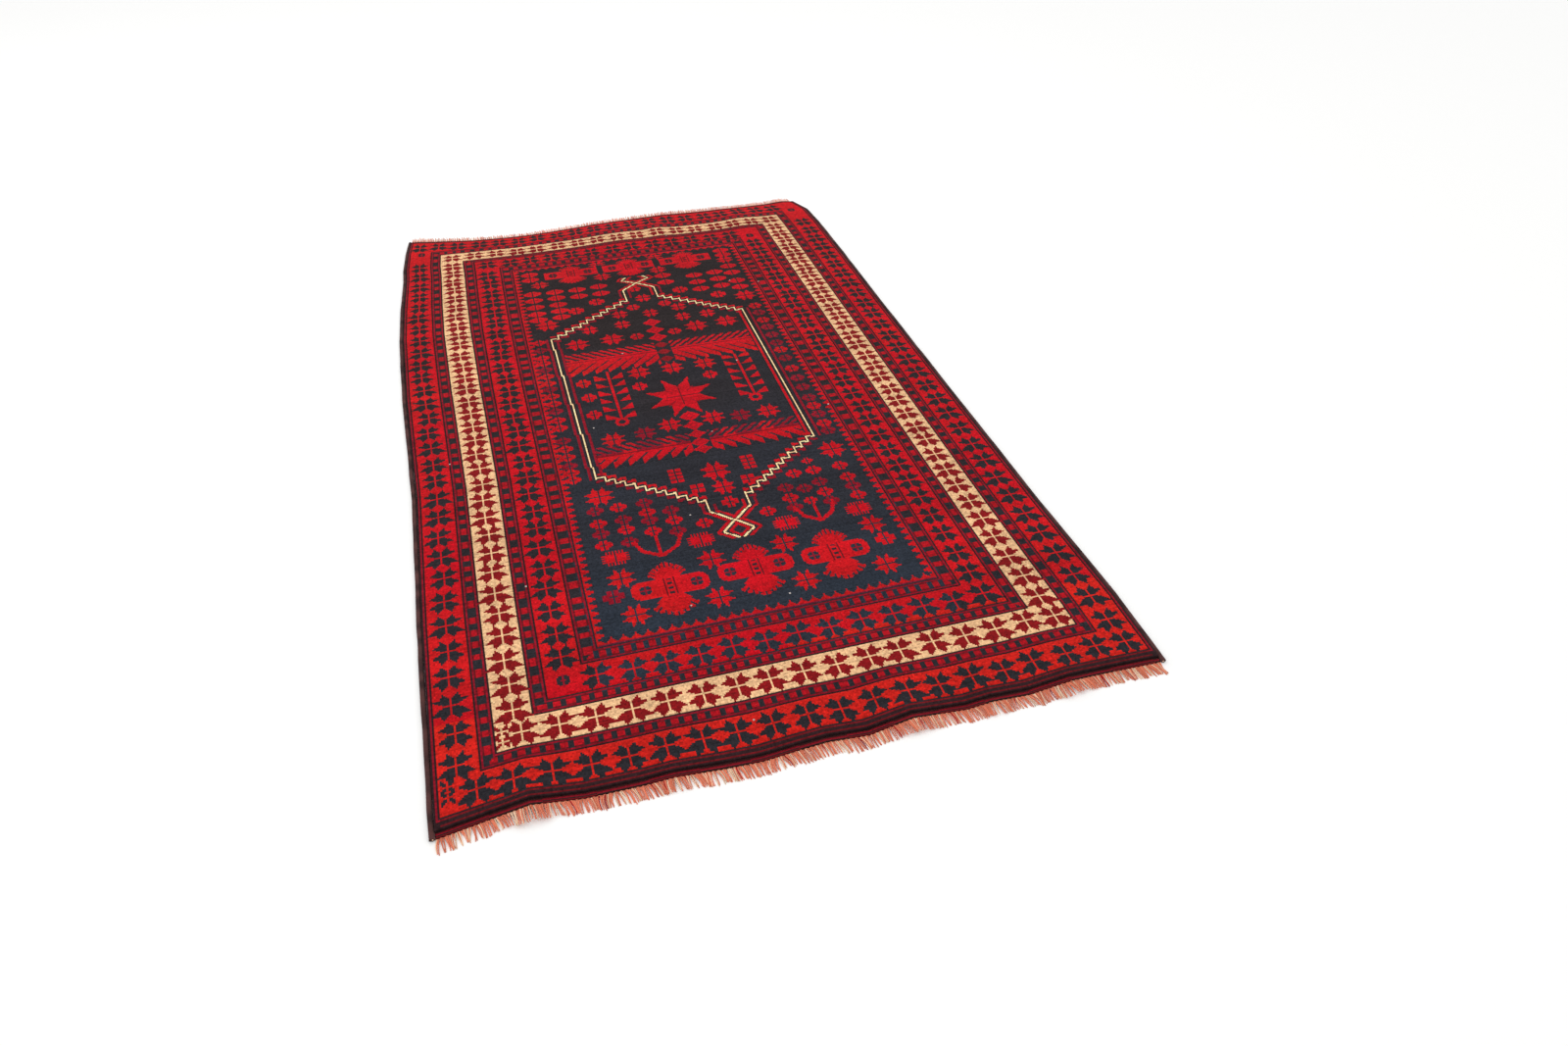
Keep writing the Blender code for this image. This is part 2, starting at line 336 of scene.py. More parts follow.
def paint_sawtooth(chart, outer, inner):
    """Red teeth that point into the field from all four sides."""
    rows, columns, depth, rest = between(outer, inner, chart)
    left, _, right, _ = outer
    side = (columns - left == depth) | (right - 1 - columns == depth)
    tooth = np.where(side, np.abs(rows % 6 - 2.5) * 1.9, np.abs(columns % 7 - 3) * 1.45)
    ring = (depth >= 0) & (rest >= -1)
    chart.codes[ring] = NAVY
    chart.codes[ring & ((depth + tooth < 5.4) | (depth == 0))] = RED
    chart.codes[ring & ~side & (depth == 0)] = PURPLE


def paint_edge_stripes(chart, outer, inner):
    """The outermost lines: wine down the sides and maroon across the ends, between dark ones."""
    rows, columns, depth, rest = between(outer, inner, chart)
    ring = (depth >= 0) & (rest >= 0)
    left, _, right, _ = inner
    side = (columns < left) | (columns >= right)
    ends = np.where((rest == 1) | (rest == 4), MAROON, BROWN)
    sides = np.where(rest == 1, WINE, BROWN)
    chart.codes[ring] = np.where(side, sides, ends)[ring]


def tighten(first, last, count, squeeze):
    """Places that get closer and closer, as the knotter packed the rows tighter towards the far end."""
    places = [i / (count - 1) for i in range(count)]
    return [first + (last - first) * ((1 + squeeze) * t - squeeze * t * t) for t in places]


def paint_stars(chart, places, sway, colour, cross, wide, talls):
    """A row of stars, each a little off its place and a little larger or smaller, as knotted by hand.

    How tall they are is given at the middle of the rug, with what it changes by in each metre along it.
    """
    for x, y in places:
        tall = talls[0] + talls[1] * y
        shift = sway.uniform(-0.0018, 0.0018, 2)
        size = sway.uniform(0.95, 1.04)
        paint_star(chart, x + shift[0], y + shift[1], colour, cross, wide * size, tall * size, True)


def paint_star_border(chart, outer, inner, near_row, far_row, side_rows, sway, look, talls):
    """Stars along all four sides of a border. A row is its first place, last place and how many."""
    left, right = (outer[0][0] + inner[0][0]) / 2, (outer[1][0] + inner[1][0]) / 2
    near, far = (outer[0][1] + inner[0][1]) / 2, (outer[1][1] + inner[1][1]) / 2
    rows = (
        [(x, near) for x in spread(*near_row)],
        [(left, y) for y in tighten(*side_rows[0])],
        [(right, y) for y in tighten(*side_rows[1])],
        [(x, far) for x in spread(*far_row)],
    )
    for places, tall in zip(rows, talls):
        paint_stars(chart, places, sway, *look, tall)


def stairs(start, end, count):
    """A zigzag of small steps from start to end: a nearly level tread, then a longer drop."""
    (ax, ay), (bx, by) = start, end
    tread, drop = (bx - ax) / count, (by - ay) / count
    points = [start]
    for _ in range(count):
        x, y = points[-1]
        points.append((x + tread, y - 0.25 * drop))
        points.append((x + tread, y + drop))
    return points


def paint_medallion(chart):
    """The cream thread with a red one on each side of it: stepped gables, upright sides and crossed hooks."""
    uprights, gables, hooks = [], [], []
    for side, near_corner, far_corner in ((-1, (-248, -241), (-263, 386)), (1, (243, -219), (243, 408))):
        near = stairs(mm(near_corner)[0], (side * 0.041, -0.396), 11)
        far = stairs(mm(far_corner)[0], (side * 0.041, 0.556), 11)
        gables += [near, far]
        uprights.append([near[0], far[0]])
        uprights.append([near[-1], (side * 0.041, -0.420)])
        uprights.append([far[-1], (side * 0.041, 0.604)])
        hooks.append(mm((side * 41, -420), (0, -458), (-side * 31, -490), (-side * 6, -513)))
        hooks.append(mm((side * 41, 604), (0, 637), (-side * 37, 661), (-side * 25, 676)))
    across, along = 4 * KNOT_WIDTH, 4 * KNOT_LENGTH
    for points in gables:
        for shift in (-along, along - KNOT_LENGTH):
            chart.line([(x, y + shift) for x, y in points], WINE if shift < 0 else RED, 2, 2)
    for points in uprights:
        for shift in (-across, across):
            x = points[0][0]
            outer = (shift < 0) == (x < 0)
            chart.line([(x + shift, y) for x, y in points], WINE if outer or x < 0 else RED, 2, 1)
    for points in hooks:
        for shift in (-across, across):
            chart.line([(x + shift, y) for x, y in points], RED, 2, 1)
    for points in gables + uprights + hooks:
        for dx, dy in ((-1, 0), (1, 0), (0, -1), (0, 1)):
            chart.line([(x + dx * KNOT_WIDTH, y + dy * KNOT_LENGTH) for x, y in points], BROWN)
    for points in gables + uprights + hooks:
        chart.line(points, CREAM, thread=True)


def paint_near_field(chart):
    """The near end of the field, outside the medallion."""
    for x, y, half in ((-0.164, -0.617, 23), (0.0, -0.608, 23), (0.163, -0.608, 21)):
        paint_palmette(chart, x, y, half, 7, True, 11.5, 15, 18)
    stars = mm(
        (-252, -570), (-75, -561), (73, -555), (260, -548), (-240, -676), (-84, -673), (82, -671), (245, -671)
    )
    for x, y in stars:
        paint_star(chart, x, y, RED, NAVY, 0.86, 0.92)
    for x, y in mm((-251, -306), (267, -279)):
        paint_star(chart, x, y, RED, NAVY, 1.0, 1.0)
    paint_flower(chart, -0.272, -0.615, WINE, 6.5, 5.5)
    paint_flower(chart, 0.268, -0.598, RED, 6.5, 5.5)
    for x, y in mm((-252, -508), (-81, -500), (95, -498), (252, -494)):
        paint_burr(chart, x, y)
    bright = mm(
        (-220, -350), (-267, -394), (-216, -427), (-119, -425), (-267, -462), (-164, -383), (-164, -446),
        (158, -341), (204, -341), (263, -341), (265, -383), (127, -420), (204, -420), (265, -451),
        (-61, -449), (71, -449),
    )
    dull = mm(
        (-267, -350), (-164, -350), (-216, -395), (-119, -391), (-267, -427), (-164, -412), (-216, -466),
        (-119, -460), (127, -384), (167, -396), (204, -383), (266, -418), (129, -455), (208, -453),
    )
    for x, y in bright:
        paint_flower(chart, x, y, RED, 5.2, 4.9)
    for x, y in dull:
        paint_flower(chart, x, y, WINE, 5.2, 4.9)
    for x, near, far, wing in ((-0.164, -0.527, -0.464, 0.048), (0.166, -0.510, -0.452, 0.042)):
        chart.line([(x, near), (x, far)], RED, 2)
        for side in (-1, 1):
            leaf = [(x + side * wing, near + 0.055), (x + side * 0.7 * wing, near + 0.022), (x, near)]
            chart.line(leaf, RED, 2, 2)
    paint_flower(chart, 0.164, -0.440, RED, 4.5, 3.5)
    paint_flower(chart, 0.199, -0.305, RED, 4.0, 3.0)


def paint_far_field(chart):
    """The far end of the field, outside the medallion."""
    for x in (-0.167, -0.002, 0.163):
        paint_palmette(chart, x, 0.749, 23, 6, False, 10.0, 9, 13)
    stars = mm((-86, 785), (80, 785), (-83, 703), (74, 703), (-256, 700), (272, 712))
    for x, y in stars:
        paint_star(chart, x, y, RED, NAVY, 0.80, 0.62 if y > 0.75 else 0.74)
    for x, y in mm((-263, 462), (272, 482)):
        paint_star(chart, x, y, RED, NAVY, 1.02, 0.95)
    columns = [
        (-281, (648, 609, 571, 531, 496)), (-222, (646, 609, 571, 534, 496)), (-162, (644, 602)),
        (-102, (646, 602)), (-278, (772, 739)), (277, (775, 745)), (81, (662, 618)), (166, (640, 596, 552)),
        (224, (644, 600, 555)), (273, (668, 626, 574, 535)),
    ]
    for x, ys in columns:
        for y in ys:
            paint_pod(chart, x * 0.001, y * 0.001)
    for x, y in mm((-180, 521), (-121, 558), (110, 562), (202, 507)):
        paint_flower(chart, x, y, RED, 6.2, 5.8)
    for x, y in mm((-85, 750), (78, 750)):
        chart.paint(lambda u, v: (np.abs(u) <= 2) & (np.abs(v) <= 8), x, y, 9, NAVY)


def paint_side_columns(chart):
    """The flowers between the medallion and the teeth on each side."""
    left = (375, 335, 295, 268, 235, 204, 171, 143, 112, 79, 46, 6, -29, -82, -113, -145, -178, -205, -232)
    right = (415, 375, 333, 292, 248, 206, 171, 129, 75, 28, -16, -64, -102, -137, -177, -205)
    for x, ys in ((-0.294, left), (0.281, right)):
        for i, y in enumerate(ys):
            colour = WINE if i % 3 == 1 or (x > 0 and i % 2) else RED
            wide, tall = (5.0, 4.0) if x < 0 else (5.2, 4.6)
            paint_flower(chart, x, y * 0.001, colour, wide, tall)


def central_star(chart):
    """The big star in the middle of the medallion, as the knots that it covers."""
    points = []
    for i in range(16):
        reach = LONG_RAY if i % 2 else SHORT_RAY
        turn = math.pi * i / 8
        points.append((reach * math.cos(turn), reach * math.sin(turn)))
    column, row = chart.knot(*CENTRAL_STAR)
    v, u = np.mgrid[0 : chart.rows, 0 : chart.columns]
    return in_polygon(u - column, v - row, points)


def paint_inside_medallion(chart):
    """What the medallion holds, from its far gable to its near one."""
    for x, y in mm((0, 543), (5, 455), (-75, 468), (-76, 413), (85, 468), (82, 413), (-161, 406), (149, 413)):
        paint_star(chart, x, y, RED, NAVY, 0.76, 0.76)
    for x, y in mm((-202, 338), (-116, 342), (105, 353), (187, 355)):
        paint_star(chart, x, y, RED, NAVY, 1.0, 0.94)
    for x, y in mm((-32, 496), (51, 498), (-53, 338), (46, 340), (-10, 602)):
        paint_flower(chart, x, y, RED, 5.2, 4.6)
    for x, y in mm((-1, 402), (-1, 360), (-1, 318)):
        paint_diamond(chart, x, y, 7.4, 6.2)
    for x, y in mm((-1, 278), (-1, 244), (-2, 208)):
        paint_diamond(chart, x, y, 5.6, 4.8, DARK_RED)

    paint_feather_bar(chart, 0.182, 0.292, 0.250, -0.242, (-0.021, 0.020), 0.224, 7, RED)
    paint_feather_bar(chart, -0.214, -0.130, -0.166, -0.231, (-0.028, 0.020), 0.224, 8, WINE)

    for x, y in mm((-79, 160), (3, 160), (82, 160)):
        paint_star(chart, x, y, RED, NAVY, 0.95, 0.88)
    for x, y in mm((-91, 98), (82, 104), (-216, 147), (-212, 81), (-214, 6)):
        paint_flower(chart, x, y, RED, 5.6, 5.4)
    paint_plant(chart, -0.156, -0.025, 0.187)
    paint_plant(chart, 0.161, -0.007, 0.182)

    def diagonals(u, v):
        return (np.abs(u) == np.abs(v)) & (u**2 + v**2 < 280) & (u**2 + v**2 > 60)

    chart.codes[chart.star] = RED
    chart.paint(lambda u, v: ((u == 0) | (v == 0)) & (u**2 + v**2 < 130), *CENTRAL_STAR, 30, MAROON)
    chart.paint(diagonals, *CENTRAL_STAR, 30, WINE)

    for y, tall in ((-62, 6.5), (-102, 6), (-136, 5), (-171, 5.5), (-196, 5)):
        paint_diamond(chart, -0.006, y * 0.001, tall + 1.4, tall)
    for x, y in mm((-188, -106), (-54, -84), (47, -82), (176, -90)):
        paint_star(chart, x, y, RED, NAVY, 0.92, 0.86)
    for x, y in mm((-116, -102), (110, -90)):
        paint_star(chart, x, y, WINE, NAVY, 0.90, 0.84)

    paint_star(chart, 0.0, -0.284, RED, NAVY, 1.05, 1.15)
    paint_star(chart, 0.006, -0.345, RED, NAVY, 0.82, 0.90)
    paint_flower(chart, 0.006, -0.398, RED, 5.2, 5.2)

    def comb(u, v):
        return (np.abs(u) <= 4) & (u != 0) & (np.abs(v) <= 8) & (np.abs(v) % 4 != 0)

    for x, y in mm((-84, -277), (77, -273)):
        chart.paint(comb, x, y, 10, RED)
    for x, y in mm((-50, -335), (63, -330)):
        chart.paint(lambda u, v: (np.abs(u) <= 4) & (u != 0) & (np.abs(v) <= 4) & (v != 0), x, y, 6, RED)


def draw(boxes):
    """The whole drawing, from the outermost stripe to the middle."""
    chart = Chart(*boxes["edge_stripe_pile"])
    sway = np.random.default_rng(11)
    edge = {name: chart.edges(*box) for name, box in boxes.items()}
    chart.star = central_star(chart)
    paint_edge_stripes(chart, edge[PILE[0]], edge[PILE[1]])
    for name, within in zip(PILE[1:], PILE[2:]):
        left, near, right, far = edge[name]
        if "border" in name:
            chart.codes[near:far, left:right] = CREAM if name == "main_border_pile" else RED
        elif "guard" in name:
            paint_guard(chart, edge[name], edge[within])
    left, near, right, far = edge["field_pile"]
    chart.codes[near:far, left:right] = NAVY
    paint_sawtooth(chart, edge["sawtooth_edging_pile"], edge["field_pile"])

    paint_star_border(
        chart, boxes["outer_border_pile"], boxes["outer_guard_pile"],
        (-0.547, 0.575, 20), (-0.5766, 0.517, 20),
        ((-0.93, 0.90, 30, 0.04), (-0.93, 0.90, 30, 0.04)), sway, (NAVY, RED, 1.0),
        ((0.98, 0.0), (0.97, 0.0), (0.97, 0.0), (0.90, 0.0)),
    )
    paint_star_border(
        chart, boxes["main_border_pile"], boxes["middle_guard_pile"],
        (-0.467, 0.485, 17), (-0.478, 0.478, 17),
        ((-0.840, 0.888, 32, 0.09), (-0.838, 0.888, 33, 0.14)), sway, (DARK_RED, CREAM, 1.02),
        ((0.98, 0.0), (0.93, -0.07), (0.90, -0.10), (0.76, 0.0)),
    )
    paint_star_border(
        chart, boxes["inner_border_pile"], boxes["inner_guard_pile"], (-0.33, 0.385, 13), (-0.385, 0.33, 13),
        ((-0.74, 0.80, 27, 0.04), (-0.74, 0.80, 27, 0.04)), sway, (NAVY, RED, 0.98),
        ((0.96, 0.0), (0.94, 0.0), (0.94, 0.0), (0.86, 0.0)),
    )
    for x, y in mm((-590, -964), (-590, -985), (-499, -884), (-501, -907)):
        colour, cross = (NAVY, RED) if x < -0.55 else (DARK_RED, CREAM)
        chart.paint(lambda u, v: (np.abs(np.abs(u) - np.abs(v)) <= 1) & (np.abs(u) <= 3), x, y, 4, colour)
        chart.paint(lambda u, v: (u == 0) | (v == 0), x, y, 3, cross)
    for x, y in mm((-570, 986), (570, 995), (-388, -798), (385, 848)):
        paint_flower(chart, x, y, NAVY, 3.6, 3.6, WINE)

    paint_near_field(chart)
    paint_far_field(chart)
    paint_side_columns(chart)
    paint_inside_medallion(chart)
    paint_medallion(chart)
    for _ in range(PALE_TUFTS):
        chart.codes[sway.integers(20, chart.rows - 20), sway.integers(20, chart.columns - 20)] = WHITE
    return chart



def linear(colour):
    """A colour in sRGB from 0 to 255, as linear light."""
    value = np.asarray(colour, float) / 255
    return np.where(value <= 0.04045, value / 12.92, ((value + 0.055) / 1.055) ** 2.4)


def smooth_noise(count, spacing, seed):
    """Slow ups and downs from -1 to 1 along so many rows."""
    knots = np.random.default_rng(seed).uniform(-1, 1, count // spacing + 4)
    place = np.arange(count) / spacing
    low = place.astype(int)
    part = place - low
    part = part * part * (3 - 2 * part)
    return knots[low] * (1 - part) + knots[low + 1] * part


def dye(chart):
    """Each knot's own colour: its yarn, the dye lots that change along the rug, and uneven spinning."""
    table = np.array([linear(DYES[code]) for code in sorted(DYES)])
    colour = table[chart.codes]
    rows, columns = chart.codes.shape
    sway = np.random.default_rng(5)
    y = chart.near + (np.arange(rows) + 0.5) * chart.step[1]
    x = chart.left + (np.arange(columns) + 0.5) * chart.step[0]
    reds = chart.codes == RED
    beads = (chart.codes == DARK_RED) & chart.guard
    colour = np.where(beads[..., None], linear(BEAD_RED), colour)
    cream_thread = chart.thread & (chart.codes == CREAM)
    colour = np.where(cream_thread[..., None], linear(THREAD_CREAM), colour)
    lot = smooth_noise(rows, 46, 3)[:, None] * 0.5 + smooth_noise(columns, 60, 4)[None, :] * 0.25
    first_lot = np.where(x < 0, -0.838, -0.818)[None, :]
    orange = np.clip(0.05 + 0.40 * lot, 0, 0.5) + 0.48 * (y[:, None] < first_lot)
    mixed = colour * (1 - orange[..., None]) + linear(ORANGE_DYE) * orange[..., None]
    colour = np.where(reds[..., None], mixed, colour)
    lightness = 1 + 0.10 * smooth_noise(rows, 9, 6)[:, None] + 0.07 * sway.normal(size=(rows, 1))
    lightness = lightness + 0.17 * sway.normal(size=(rows, columns))
    dark = np.isin(chart.codes, (NAVY, BROWN))
    middle = np.where((np.abs(x)[None, :] < 0.33) & (y[:, None] > -0.84), 1.0, 0.3)
    blueness = (np.clip(0.35 - 0.65 * y[:, None] + 0.35 * lot, 0, 1) * middle)[..., None]
    slate = colour * (0.72 + np.array([0.02, 0.70, 1.30]) * blueness)
    colour = np.where(dark[..., None], slate, colour)
    return np.clip(colour * np.clip(lightness, 0.6, 1.5)[..., None], 0.002, 0.95)


# How the rug lies. Its half-widths: y and the width in metres.
LEFT_HALF = (
    (-1.06, 0.6215), (-0.6, 0.6255), (-0.2, 0.6235), (-0.05, 0.628), (0.2, 0.6355), (0.49, 0.637),
    (0.654, 0.631), (0.833, 0.6205), (0.9, 0.6195), (1.0, 0.611), (1.09, 0.598),
)
RIGHT_HALF = (
    (-1.06, 0.6205), (-0.95, 0.6235), (-0.87, 0.626), (-0.78, 0.624), (-0.57, 0.620), (0.25, 0.619),
    (0.645, 0.621), (0.9, 0.620), (1.0, 0.614), (1.08, 0.588),
)
# How far the left stripes lie to one side of their even places, because the left border was woven narrower:
# x in metres and the shift in mm. Then y and how much of that shift holds there.
LEFT_STRIPES = (
    (-0.62, 0.0), (-0.5406, -9.0), (-0.5103, -8.0), (-0.4465, -8.5), (-0.4187, -3.5), (-0.36, -1.0),
    (-0.30, 0.0),
)
STRIPES_ALONG = (-0.8, 0.15), (0.1, 0.3), (0.9, 1.0)
# How far the near edge, the far cream border and the far edge wander along y: x in metres, the shift in mm.
NEAR_EDGE = (
    (-0.61, -8), (-0.56, 0), (-0.47, 15), (-0.43, 8), (-0.39, 2), (-0.30, 0), (-0.25, 2), (-0.17, -5),
    (-0.11, -8), (-0.05, -3), (0.0, 0), (0.07, -6), (0.15, 8), (0.19, 4), (0.245, -1), (0.29, 3), (0.36, -1),
    (0.44, 8), (0.52, 6), (0.60, 3),
)
FAR_CREAM = (
    (-0.6, 6), (-0.45, 0), (-0.3, -7), (-0.15, -2), (0.0, 2), (0.15, 5), (0.3, 3), (0.45, 6), (0.6, 4)
)
FAR_EDGE = (
    (-0.6, 19), (-0.5, -6), (-0.415, -28), (-0.323, -36), (-0.26, -38), (-0.17, -29), (-0.05, -12),
    (0.05, -5), (0.166, 4), (0.28, -6), (0.395, -11), (0.51, -11), (0.578, 0), (0.62, -14),
)
FAR_EDGE_SHARE = 0.9
# The crests that stand off the floor: x, y, spread in x, reach along y, height in mm.
CRESTS = (
    (-0.47, -1.05, 0.032, 0.13, 8.6), (0.149, -1.05, 0.028, 0.10, 5.5), (0.443, -1.05, 0.030, 0.11, 5.5),
    (0.29, -1.05, 0.020, 0.07, 2.5), (-0.25, -1.05, 0.022, 0.07, 2.0), (0.0, 0.955, 0.095, 0.10, 5.2),
    (0.127, 0.965, 0.036, 0.07, 4.6), (0.386, 0.960, 0.050, 0.09, 4.4), (-0.12, 0.20, 0.30, 0.05, 1.2),
    (0.55, 0.30, 0.03, 0.30, 2.2), (-0.55, -0.25, 0.03, 0.35, 2.0),
)
HIGHEST_CREST = 0.0095
NEAR_CREST_Y = -1.05
NEAR_SLOPE = 0.84  # how far a crest at the near end draws the edge back, to its height
HALF_WIDTH = 0.625


def along(profile, x):
    """What the profile gives at each x, straight between its places."""
    places, values = zip(*profile)
    return np.interp(x, places, values)


def lift(x, y):
    """How far the rug stands off the floor, in metres."""
    height = np.zeros_like(x)
    for cx, cy, wide, reach, tall in CRESTS:
        height += tall * 0.001 * np.exp(-(((x - cx) / wide) ** 2)) * np.exp(-(((y - cy) / reach) ** 2))
    return np.minimum(height, HIGHEST_CREST)


def lay(points):
    """Where the points of the flat rug lie on the floor."""
    x, y, z = points[:, 0], points[:, 1], points[:, 2]
    half = np.where(x < 0, along(LEFT_HALF, y), along(RIGHT_HALF, y))
    inner = np.clip((np.abs(x) - 0.25) / 0.375, 0, None)
    across = x * (1 + (half / HALF_WIDTH - 1) * np.clip(0.35 + 0.65 * inner, 0, 1.0))
    across += along(LEFT_STRIPES, x) * 0.001 * along(STRIPES_ALONG, y)
    up = lift(x, y)
    to_near = np.clip((-0.86 - y) / 0.19, 0, 1)
    near = (along(NEAR_EDGE, x) * 0.001 - NEAR_SLOPE * lift(x, np.full_like(x, NEAR_CREST_Y))) * to_near
    cream = along(FAR_CREAM, x) * 0.001
    far = (along(FAR_EDGE, x) * 0.001) * FAR_EDGE_SHARE
    to_cream, to_edge = np.clip((y - 0.62) / 0.35, 0, 1), np.clip((y - 0.97) / 0.12, 0, 1)
    shift = near + (cream * (1 - to_edge) + far * to_edge) * to_cream * to_cream
    return np.stack([across, y + shift, z + up], 1)


def finish_mesh(name, points, faces, colours, material, places=None, smooth=False):
    """A piece from its flat points, its quads and one colour for each of them."""
    points = lay(points)
    mesh = bpy.data.meshes.new(name)
    mesh.vertices.add(len(points))
    mesh.vertices.foreach_set("co", points.astype(np.float32).ravel())
    mesh.loops.add(faces.size)
    mesh.loops.foreach_set("vertex_index", faces.astype(np.int32).ravel())
    mesh.polygons.add(len(faces))
    mesh.polygons.foreach_set("loop_start", np.arange(0, faces.size, faces.shape[1], dtype=np.int32))
    mesh.update(calc_edges=True)
    mesh.validate()
    yarn = mesh.attributes.new("yarn", "FLOAT_COLOR", "FACE")
    rgba = np.ones((len(faces), 4), np.float32)
    rgba[:, :3] = colours
    yarn.data.foreach_set("color", rgba.ravel())
    if places is None:
        places = np.full((len(points), 3), 0.5)
    knots = mesh.attributes.new("knots", "FLOAT_VECTOR", "POINT")
    knots.data.foreach_set("vector", places.astype(np.float32).ravel())
    if smooth:
        mesh.shade_smooth()
    mesh.materials.append(material)
    piece = bpy.data.objects.new(name, mesh)
    bpy.context.scene.collection.objects.link(piece)
    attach(piece, "root")
    return piece


def knotted(name, mask, origin, step, colours, tops, bottom, material):
    """A closed piece of pile or weave over the masked cells, with its own height at each corner."""
    rows, columns = np.nonzero(mask)
    wide = mask.shape[1] + 1
    corner = rows * wide + columns
    quads = np.stack([corner, corner + 1, corner + 1 + wide, corner + wide], 1)
    used = np.unique(quads)
    lookup = np.zeros(wide * (mask.shape[0] + 1), np.int64)
    lookup[used] = np.arange(len(used))
    top = lookup[quads]
    count = len(used)
    ringed = np.pad(mask, 1)
    # Each knot's colour goes on top and the underside is 0.7 as bright; the side walls below get painted
    # shade.
    faces, shades = [top, top[:, ::-1] + count], [colours[rows, columns], colours[rows, columns] * 0.7]
    for down, right, a, b in ((-1, 0, 0, 1), (0, 1, 1, 2), (1, 0, 2, 3), (0, -1, 3, 0)):
        bare = ~ringed[rows + 1 + down, columns + 1 + right]
        p, q = top[bare, a], top[bare, b]
        faces.append(np.stack([q, p, p + count, q + count], 1))
        # Painted shade: the side walls are 0.55 as bright as their knot, standing in for the shade in the
        # gaps between pieces and at the edges.
        shades.append(colours[rows, columns][bare] * 0.55)
    r, c = used // wide, used % wide
    inwards = np.zeros((count, 2))
    for dr, dc, sign in ((0, 0, (-1, -1)), (0, 1, (1, -1)), (1, 0, (-1, 1)), (1, 1, (1, 1))):
        inwards += ringed[r + dr, c + dc][:, None] * np.array(sign) * HAIRLINE * 0.5
    x = origin[0] + c * step[0] + inwards[:, 0]
    y = origin[1] + r * step[1] + inwards[:, 1]
    upper = np.stack([x, y, tops.ravel()[used]], 1)
    lower = np.stack([x, y, np.full(count, bottom)], 1)
    places = np.stack([c, r, np.zeros(count)], 1)
    return finish_mesh(
        name, np.concatenate([upper, lower]), np.concatenate(faces), np.concatenate(shades), material,
        places=np.concatenate([places, places]),
    )


def corner_heights(heights):
    """The mean of the cells round each corner."""
    ringed = np.pad(heights, 1, mode="edge")
    return (ringed[:-1, :-1] + ringed[1:, :-1] + ringed[:-1, 1:] + ringed[1:, 1:]) / 4


def tube(centres, width, height, sides=8, turn=None, swell=None):
    """Points and quads of a closed tube through the centres, upright ovals across the way it runs."""
    centres = np.asarray(centres, float)
    count = len(centres)
    way = np.gradient(centres, axis=0)
    way /= np.linalg.norm(way, axis=1)[:, None]
    side = np.stack([way[:, 1], -way[:, 0], np.zeros(count)], 1)
    side /= np.linalg.norm(side, axis=1)[:, None] + 1e-9
    up = np.cross(side, way)
    angle = np.linspace(0, 2 * np.pi, sides, endpoint=False)[None, :]
    grow = np.ones((count, sides)) if swell is None else swell(np.arange(count)[:, None], angle)
    width, height = np.broadcast_to(width, count)[:, None] / 2, np.broadcast_to(height, count)[:, None] / 2
    points = centres[:, None, :] + side[:, None, :] * (np.cos(angle) * width * grow)[..., None]
    points = points + up[:, None, :] * (np.sin(angle) * height * grow)[..., None]
    ring = np.arange(count - 1)[:, None] * sides + np.arange(sides)[None, :]
    after = np.arange(count - 1)[:, None] * sides + (np.arange(sides)[None, :] + 1) % sides
    quads = np.stack([ring, after, after + sides, ring + sides], -1).reshape(-1, 4)
    points = np.concatenate([points.reshape(-1, 3), centres[:1], centres[-1:]])
    first, last = count * sides, count * sides + 1
    base = (count - 1) * sides
    caps = []
    for i in range(0, sides, 2):
        caps.append([first, (i + 2) % sides, (i + 1) % sides, i])
        caps.append([last, base + i, base + (i + 1) % sides, base + (i + 2) % sides])
    return points, np.concatenate([quads, np.array(caps)])


def several(tubes):
    """Many tubes as one set of points and quads, with which tube each quad belongs to."""
    points, quads, owner, base = [], [], [], 0
    for i, (some_points, some_quads) in enumerate(tubes):
        points.append(some_points)
        quads.append(some_quads + base)
        owner.append(np.full(len(some_quads), i))
        base += len(some_points)
    return np.concatenate(points), np.concatenate(quads), np.concatenate(owner)


def connect(tree, node, inputs):
    """Links each of the node's inputs to a socket, or sets it to a value."""
    for key, value in inputs.items():
        if isinstance(value, bpy.types.NodeSocket):
            tree.links.new(value, node.inputs[key])
        else:
            node.inputs[key].default_value = value
    return node


def add_node(tree, kind, inputs, **settings):
    node = tree.nodes.new("ShaderNode" + kind)
    for setting, value in settings.items():
        setattr(node, setting, value)
    return connect(tree, node, inputs)


def calculate(tree, operation, *values):
    """A Math node's result for one or two sockets or numbers."""
    return add_node(tree, "Math", dict(enumerate(values)), operation=operation).outputs["Value"]


def tufts(tree):
    """A small dome over each knot."""
    grid = add_node(tree, "Attribute", {}, attribute_name="knots").outputs["Vector"]
    part = add_node(tree, "VectorMath", {0: grid}, operation="FRACTION").outputs["Vector"]
    split = add_node(tree, "SeparateXYZ", {"Vector": part}).outputs
    turns = [calculate(tree, "MULTIPLY", split[axis], math.pi) for axis in ("X", "Y")]
    arches = [calculate(tree, "SINE", turn) for turn in turns]
    return calculate(tree, "MULTIPLY", *arches)


